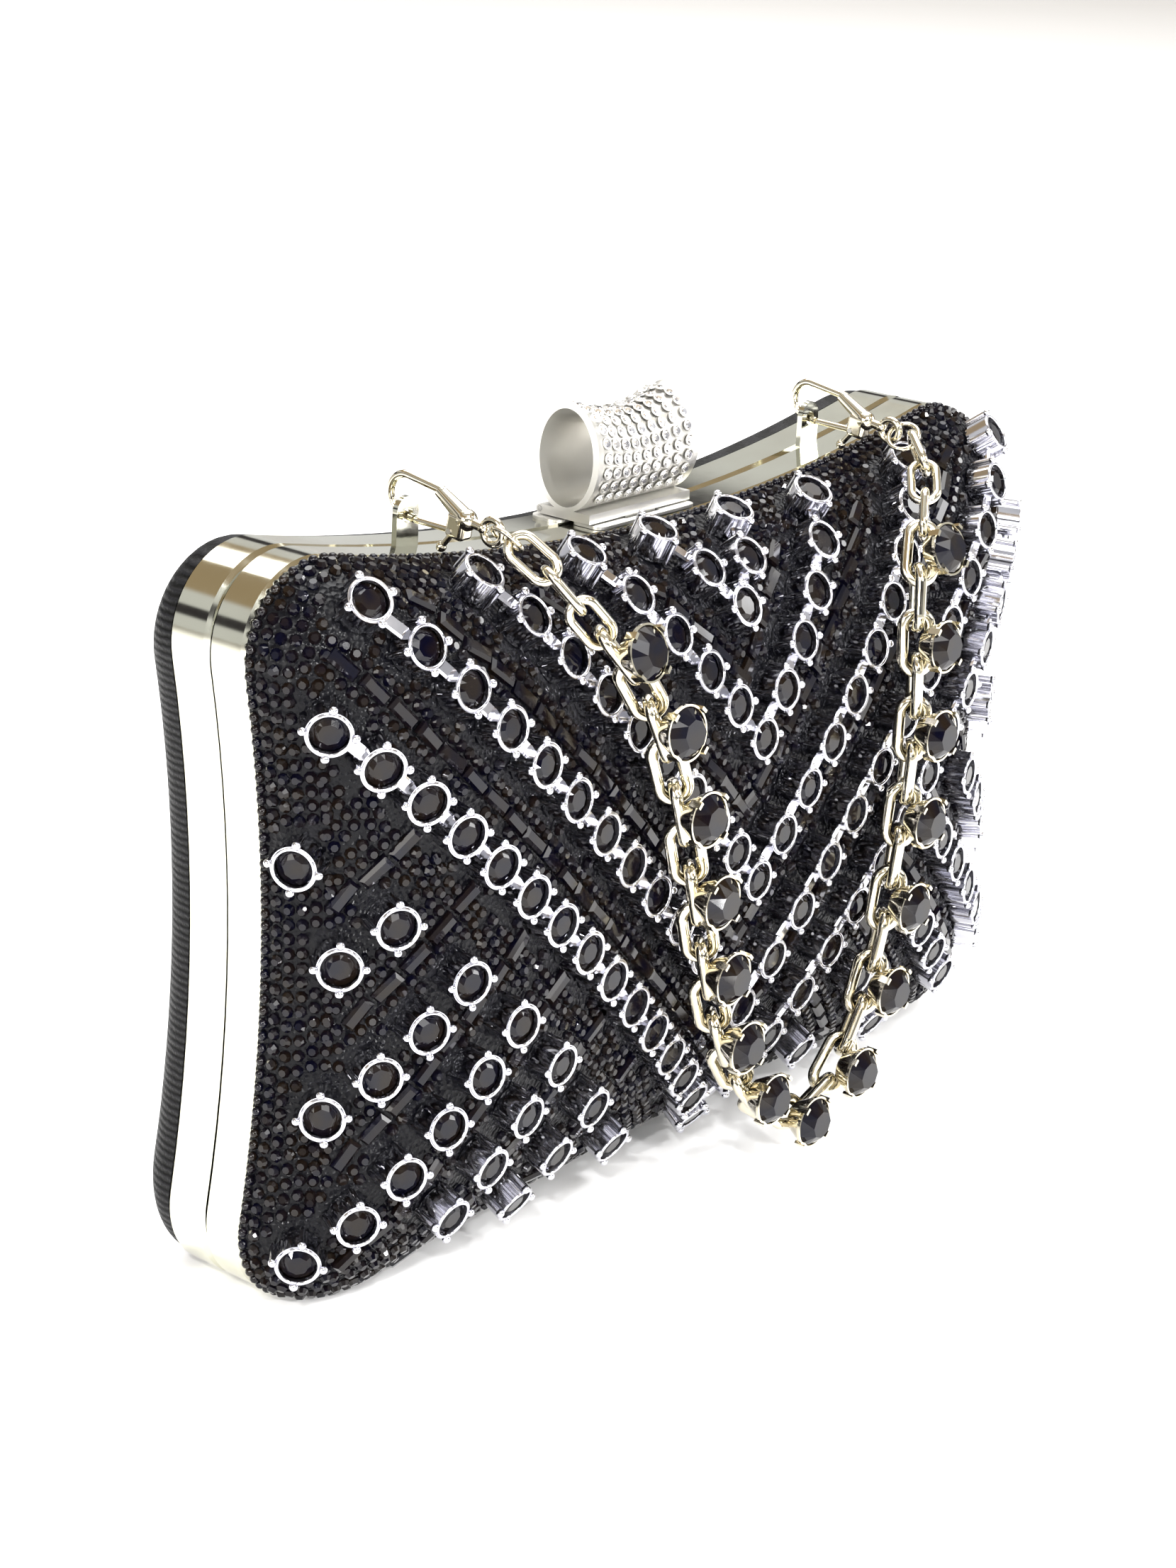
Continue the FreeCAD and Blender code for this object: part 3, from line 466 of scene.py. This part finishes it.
def clear_of_crowns(at, margin):
    """Whether a point is outside every crown setting by a margin."""
    return all((at - foot).length > CROWN_REACH + margin for foot in CROWN_FEET)


def off_floor(at, reach):
    """Whether a stone of this reach stays above the plane that the bag stands on."""
    return at.z > reach


def random_tilt():
    """A small lean, so that hand-set stones catch the light one by one."""
    return Vector([RANDOM.uniform(-STONE_TILT, STONE_TILT) for _ in range(3)])


def row_heights():
    """Where each V row and each corner row crosses the middle, worked out from the stones themselves."""
    v_rows = []
    corner = []
    for name, group in CROWNS.items():
        feet = [foot_of(low, axis) for low, axis, _ in group]
        if "corner" in name:
            corner += [foot.z - MID_Z + abs(foot.x) for foot in feet]
        else:
            levels = sorted(foot.z - MID_Z - abs(foot.x) for foot in feet)
            v_rows.append(levels[len(levels) // 2])
    corner.sort()
    clusters = [[corner[0]]]
    for level in corner[1:]:
        if level - clusters[-1][-1] > 7 * MM:
            clusters.append([])
        clusters[-1].append(level)
    return sorted(v_rows, reverse=True), [sum(c) / len(c) for c in clusters][::-1]


V_ROWS, CORNER_ROWS = row_heights()
V_LIMIT = V_ROWS[-1] - 9 * MM


def fill_lines(rows, above, below):
    """(level, kind) of the lines of small stones and baguettes between and beyond the crown rows."""
    lines = []
    for high, low in zip(rows, rows[1:]):
        middle = (high + low) / 2
        lines.append((middle, "baguette"))
        for offset in LINE_OFFSETS:
            lines.append((middle + offset * ROOT_2, "round"))
            lines.append((middle - offset * ROOT_2, "round"))
    for index in range(above):
        lines.append((rows[0] + (ROW_CLEARANCE + index * SMALL_PITCH) * ROOT_2, "round"))
    for index in range(below):
        lines.append((rows[-1] - (ROW_CLEARANCE + index * SMALL_PITCH) * ROOT_2, "round"))
    return lines


def walk(x, z, dx, dz, pitch):
    """Points along a straight line over the front, an even pitch apart on the surface."""
    points = []
    here = drop(x, z)
    while here and len(points) < 120:
        at, normal = here
        if at.y > FRONT_RIM_Y - RIM_DEPTH:
            break
        points.append((at, normal))
        slope = normal.x * dx + normal.z * dz
        step = pitch * max(abs(normal.y), 0.25) / max(math.hypot(normal.y, slope), 0.25)
        x += dx * step
        z += dz * step
        here = drop(x, z)
    return points


def pattern_places():
    """Places of the small stones and baguettes that fill the front between the crown rows."""
    slant = 1 / ROOT_2
    places = {"round": [], "baguette": []}
    for sign in (-1, 1):
        for level, kind in fill_lines(V_ROWS, 22, 2):
            run = walk(sign * 0.6 * MM, MID_Z + level, sign * slant, slant, PITCHES[kind])
            keep(places[kind], run, Vector((sign, 0, 1)), kind)
        for level, kind in fill_lines(CORNER_ROWS, 2, 8):
            start = (level - V_LIMIT) / 2
            run = walk(sign * start, MID_Z + level - start, sign * slant, -slant, PITCHES[kind])
            keep(places[kind], run, Vector((sign, 0, -1)), kind)
    return places


def keep(places, run, along, kind):
    """Adds the stones of a run that are clear of the crowns."""
    for at, normal in run:
        if clear_of_crowns(at, MARGINS[kind]) and off_floor(at, REACHES[kind]):
            places.append(stand(at - normal * STONE_SINK, normal + random_tilt(), along))


def gap_places(placed):
    """Small stones for whatever ground the rows leave open, set out on a close staggered grid."""
    stones = KDTree(len(placed["round"]))
    for index, place in enumerate(placed["round"]):
        stones.insert(place.translation, index)
    stones.balance()
    bars = [(place.translation, place.inverted()) for place in placed["baguette"]]
    found = []
    rows = int(HALF_HEIGHT / (GAP_PITCH * 0.87))
    columns = int(HALF_WIDTH / GAP_PITCH)
    for row in range(-rows, rows + 1):
        z = MID_Z + row * GAP_PITCH * 0.87
        shift = 0.5 * GAP_PITCH if row % 2 else 0.0
        for column in range(-columns, columns + 1):
            hit = drop(column * GAP_PITCH + shift, z)
            if hit and open_ground(hit[0], stones, bars):
                foot = hit[0] - hit[1] * STONE_SINK
                found.append(stand(foot, hit[1] + random_tilt(), Vector((1, 0, 1))))
    return found


def open_ground(at, stones, bars):
    """Whether a small stone fits at a point without touching anything already set."""
    if at.y > FRONT_RIM_Y - RIM_DEPTH + MM or not off_floor(at, STONE_REACH):
        return False
    if stones.find(at)[2] < GAP_SPACING or not clear_of_crowns(at, GAP_MARGIN):
        return False
    for centre, into_bar in bars:
        if (at - centre).length < BAGUETTE_LENGTH / 2 + SMALL_STONE:
            local = into_bar @ at
            if abs(local.y) < BAGUETTE_WIDTH / 2 + 0.8 * MM:
                return False
    return True


def contour(depth):
    """The front shell's outer outline at a depth in front of its frame, as a closed run of points."""
    points = []
    count = 1440
    centre = Vector((0, FRONT_RIM_Y - depth, MID_Z))
    for i in range(count):
        angle = 2 * math.pi * i / count
        out = Vector((math.cos(angle), 0, math.sin(angle)))
        hit = SURFACE.ray_cast(centre + out * 0.2, -out)
        if hit[0] is not None:
            points.append((hit[0], hit[1] if hit[1].dot(out) > 0 else -hit[1]))
    return points


def along_contour(points, pitch):
    """Every point of a closed run that is a pitch on from the last."""
    chosen = [points[0]]
    for point in points:
        if (point[0] - chosen[-1][0]).length >= pitch:
            chosen.append(point)
    if (chosen[-1][0] - chosen[0][0]).length < pitch * 0.8:
        chosen.pop()
    return chosen


def border_places():
    """Rings of small stones round the steep rim of the front, over the bead line beside the frame."""
    rings = []
    for depth in BORDER_DEPTHS:
        for at, normal in along_contour(contour(depth * MM), SMALL_PITCH):
            if clear_of_crowns(at, MARGINS["round"]) and off_floor(at, STONE_REACH):
                rings.append(stand(at - normal * STONE_SINK, normal + random_tilt(), BORDER_AXIS))
    return rings


def build_front_stones():
    """The small stones, baguettes, border stones and bead line of the front."""
    glass = MATERIALS["black_stone"]
    places = pattern_places()
    gem = small_gem(SMALL_STONE, 1.0 * MM)
    new_piece("row_stones", *scatter(gem, places["round"]), glass, "front_half", "black_stone")
    new_piece("gap_stones", *scatter(gem, gap_places(places)), glass, "front_half", "black_stone")
    bar = bevelled_bar(BAGUETTE_LENGTH, BAGUETTE_WIDTH, 1.3 * MM, 0.45 * MM)
    new_piece("baguettes", *scatter(bar, places["baguette"]), glass, "front_half", "black_stone")
    new_piece("border_stones", *scatter(gem, border_places()), glass, "front_half", "black_stone")
    beads = []
    for at, normal in along_contour(contour(BEAD_DEPTH), BEAD_PITCH):
        if off_floor(at, BEAD_REACH):
            beads.append(stand(at + normal * 0.1 * MM, normal, BORDER_AXIS))
    line = scatter(bead(BEAD_RADIUS), beads)
    new_piece("edge_beads", *line, glass, "front_half", "black_stone", smooth=True)


def build_crown_stones():
    """A faceted stone and a bright rim for each crown setting, and bridges along the V rows."""
    stones = {}
    for name, group in CROWNS.items():
        places = [stand(low, axis, X_AXIS) for low, axis, _ in group]
        tall = group[0][2]
        gem = round_gem(2.93 * MM, 0, tall * 0.45, tall, 0.56)
        piece_name = name.replace("crown_stones", "cut_stones")
        piece = new_piece(piece_name, *scatter(gem, places), MATERIALS["black_stone"],
                          "front_half", "black_stone")
        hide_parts(name)
        stones[name] = [(foot_of(low, axis), axis) for low, axis, _ in group]
    rims = []
    bridges = []
    for name, feet in stones.items():
        rims += [stand(foot, axis, X_AXIS) for foot, axis in feet]
        if "corner" not in name:
            bridges += bridge_places(feet)
    silver = MATERIALS["silver_plate"]
    rim = hoop(3.2 * MM, 0.3 * MM, CROWN_TOP, 28, 6)
    new_piece("crown_rims", *scatter(rim, rims), silver, "front_half", "silver_plate", smooth=True)
    plate = bevelled_bar(4.2 * MM, 2.3 * MM, 0.8 * MM, 0.3 * MM)
    new_piece("crown_bridges", *scatter(plate, bridges), silver, "front_half", "silver_plate")


def bridge_places(feet):
    """Plates half way between neighbouring settings of a row."""
    places = []
    for index, (foot, axis) in enumerate(feet):
        for other, other_axis in feet[index + 1:]:
            gap = other - foot
            level = abs(abs(gap.x) - abs(gap.z)) < 2.2 * MM
            if gap.length < 11 * MM and level:
                up = (axis + other_axis).normalized()
                places.append(stand((foot + other) / 2 + up * 2.6 * MM, up, gap))
    return places


# ---------------------------------------------------------------- chain and clasp stones

def build_chain_crystals():
    """A faceted crystal in place of each plain one of the chain."""
    crystals = islands("chain_crystals")
    places = [stand(low, axis, X_AXIS) for low, axis, _ in crystals]
    height = crystals[-1][2]
    gem = round_gem(4.22 * MM, 0, height * 0.62, height, 0.58)
    piece = new_piece("cut_chain_crystals", *scatter(gem, places), MATERIALS["black_stone"],
                      "chain_handle", "black_stone")
    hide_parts("chain_crystals")


def build_ring_bezels():
    """A raised bezel round each clear stone of the clasp ring."""
    low_corner, high_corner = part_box("clasp_ring")
    middle = (low_corner + high_corner) / 2
    places = []
    for low, axis, _ in islands("ring_stones"):
        out = low - Vector((low.x, middle.y, middle.z))
        up = axis if axis.dot(out) > 0 else -axis
        places.append(stand(low, up, X_AXIS))
    rim = hoop(0.9 * MM, 0.17 * MM, 0.2 * MM, 14, 5)
    new_piece("ring_bezels", *scatter(rim, places), MATERIALS["clasp_metal"],
              "clasp", "clasp_metal", smooth=True)


# ---------------------------------------------------------------- floor, light and camera

def build_floor():
    verts = [(-6, -6, 0), (6, -6, 0), (6, 6, 0), (-6, 6, 0)]
    mesh = bpy.data.meshes.new("floor")
    mesh.from_pydata(verts, [], [(0, 1, 2, 3)])
    mesh.materials.append(pale_floor())
    floor = bpy.data.objects.new("floor", mesh)
    bpy.context.scene.collection.objects.link(floor)


def build_world():
    """A pale studio with a dark and a tan band overhead for the polished parts to reflect.

    The Standard view transform keeps the black stones black against the white floor.
    """
    world = bpy.data.worlds.new("studio")
    bpy.context.scene.world = world
    bpy.context.scene.view_settings.view_transform = "Standard"
    world.use_nodes = True
    nodes = world.node_tree.nodes
    links = world.node_tree.links
    place = nodes.new("ShaderNodeTexCoord")
    split = nodes.new("ShaderNodeSeparateXYZ")
    ramp = nodes.new("ShaderNodeValToRGB")
    links.new(place.outputs["Generated"], split.inputs["Vector"])
    links.new(split.outputs["Z"], ramp.inputs["Fac"])
    white = (0.96, 0.96, 0.95)
    dark = (0.05, 0.045, 0.05)
    tan = (0.55, 0.42, 0.26)
    stops = ((0.0, white), (0.16, white), (0.20, dark), (0.32, dark), (0.35, white), (0.50, white))
    stops += ((0.55, tan), (0.74, tan), (0.80, white), (1.0, (0.8, 0.8, 0.8)))
    elements = ramp.color_ramp.elements
    while len(elements) < len(stops):
        elements.new(0.5)
    for element, (position, colour) in zip(elements, stops):
        element.position = position
        element.color = (*colour, 1)
    links.new(ramp.outputs["Color"], nodes["Background"].inputs["Color"])
    nodes["Background"].inputs["Strength"].default_value = 0.88


def soft_light(name, at, target, size, watts, colour=(1, 1, 1)):
    data = bpy.data.lights.new(name, "AREA")
    data.size = size
    data.energy = watts
    data.color = colour
    light = bpy.data.objects.new(name, data)
    bpy.context.scene.collection.objects.link(light)
    light.location = at
    light.rotation_mode = "QUATERNION"
    light.rotation_quaternion = (target - Vector(at)).to_track_quat("-Z", "Y")


# small bright lamps whose only task is to glint in the cut stones
SPARKS = ((-0.8, -0.5, 0.7), (-0.2, -0.9, 0.5), (0.3, -0.9, 0.9), (-1.0, -0.2, 0.35), (-0.5, -1.0, 0.2))


def build_lights():
    target = Vector((0, SEAM_Y, MID_Z))
    soft_light("key", (-0.5, -0.9, 1.1), target, 0.6, 11)
    soft_light("top", (0.2, 0.2, 1.4), target, 1.0, 16)
    soft_light("side", (-1.2, 0.1, 0.5), target, 0.5, 7, (1.0, 0.97, 0.92))
    soft_light("right", (0.9, -0.8, 0.6), target, 0.35, 7)
    far_floor = Vector((0.65, 0.5, 0))
    soft_light("far", (0.65, 0.5, 1.2), far_floor, 1.4, 24)
    for number, (x, y, z) in enumerate(SPARKS):
        soft_light("spark_%d" % number, (x, y, z), target, 0.05, 5)


def build_camera():
    """The camera stands to the left of the front, turned a little about its own axis."""
    azimuth = math.radians(-51.7)
    elevation = math.radians(19.4)
    roll = math.radians(2.93)
    distance = 0.531
    aim = Vector((-0.8 * MM, SEAM_Y + 2.5 * MM, MID_Z + 2.5 * MM))
    back = Vector((math.sin(azimuth) * math.cos(elevation), -math.cos(azimuth) * math.cos(elevation),
                   math.sin(elevation)))
    right = (-back).cross(Vector((0, 0, 1))).normalized()
    up = right.cross(-back)
    turned_right = right * math.cos(roll) + up * math.sin(roll)
    turned_up = up * math.cos(roll) - right * math.sin(roll)
    data = bpy.data.cameras.new("camera")
    data.lens = 70.2
    data.sensor_width = 36
    data.clip_start = 0.01
    camera = bpy.data.objects.new("camera", data)
    bpy.context.scene.collection.objects.link(camera)
    camera.matrix_world = Matrix.Translation(aim + back * distance) @ Matrix(
        (turned_right, turned_up, back)).transposed().to_4x4()
    bpy.context.scene.camera = camera


dress_nodes()
build_front_stones()
build_crown_stones()
build_chain_crystals()
build_ring_bezels()
build_floor()
build_world()
build_lights()
build_camera()
